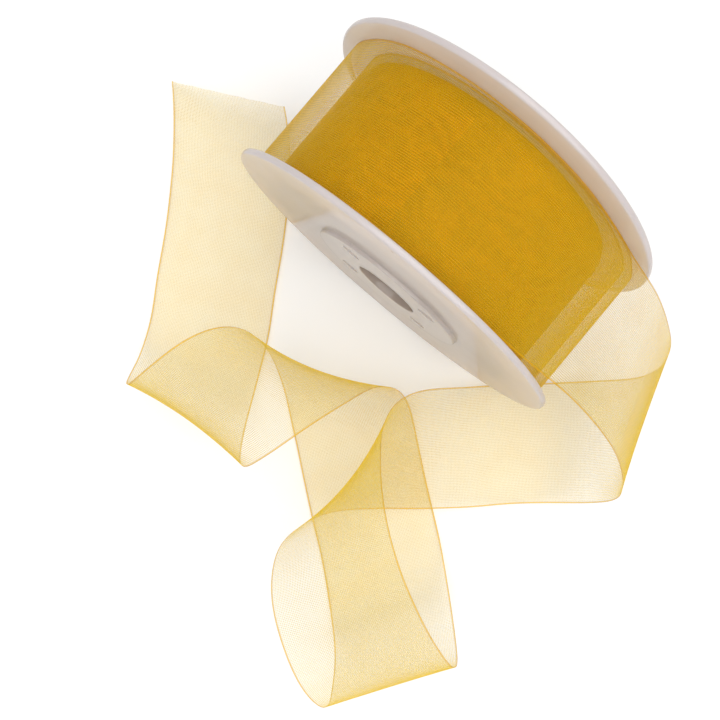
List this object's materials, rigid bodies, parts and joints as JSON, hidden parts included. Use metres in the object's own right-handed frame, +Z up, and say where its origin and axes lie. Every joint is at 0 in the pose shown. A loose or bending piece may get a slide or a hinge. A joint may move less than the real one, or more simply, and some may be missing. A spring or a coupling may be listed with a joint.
{
  "type": "ribbon spool",
  "caption": "Plastic spool of wound sheer fabric ribbon, standing on its flange rims, with its outer turn loose and the free end trailing in folds over the table.",
  "frame": {"origin": "on the table, under the middle of the whole object's footprint, the trailing ribbon included", "axes": "+X along the spool's axis, out of the front flange; +Z up, off the table the spool stands on; +Y completes the frame, across the axis on the table"},
  "size_m": [0.1432, 0.1864, 0.0999],
  "materials": {
    "milky_plastic": "glossy, milky and slightly translucent moulding",
    "core_plastic": "plain grey-beige moulding",
    "gold_organza": "sheer gold weave in many layers, with a soft sheen",
    "sheer_organza": "single sheer layer, with a darker woven edge",
    "paper_tape": "plain matt strip"
  },
  "bodies": {
    "loose_ribbon": {"loose_turn": "sheer_organza", "tail_fall": "sheer_organza", "tail_first_loop": "sheer_organza", "tail_under_run": "sheer_organza", "tail_last_loop": "sheer_organza"},
    "spool": {"front_flange": "milky_plastic", "rear_flange": "milky_plastic", "core_tube": "core_plastic", "starter_tape": "paper_tape", "wound_ribbon": "gold_organza"}
  },
  "joints": [
    {"name": "spool_spin", "type": "hinge", "parent": "loose_ribbon", "child": "spool", "pos_m": [-0.0494, 0.00323, 0.04995], "axis": [1, 0, 0], "continuous": true}
  ]
}
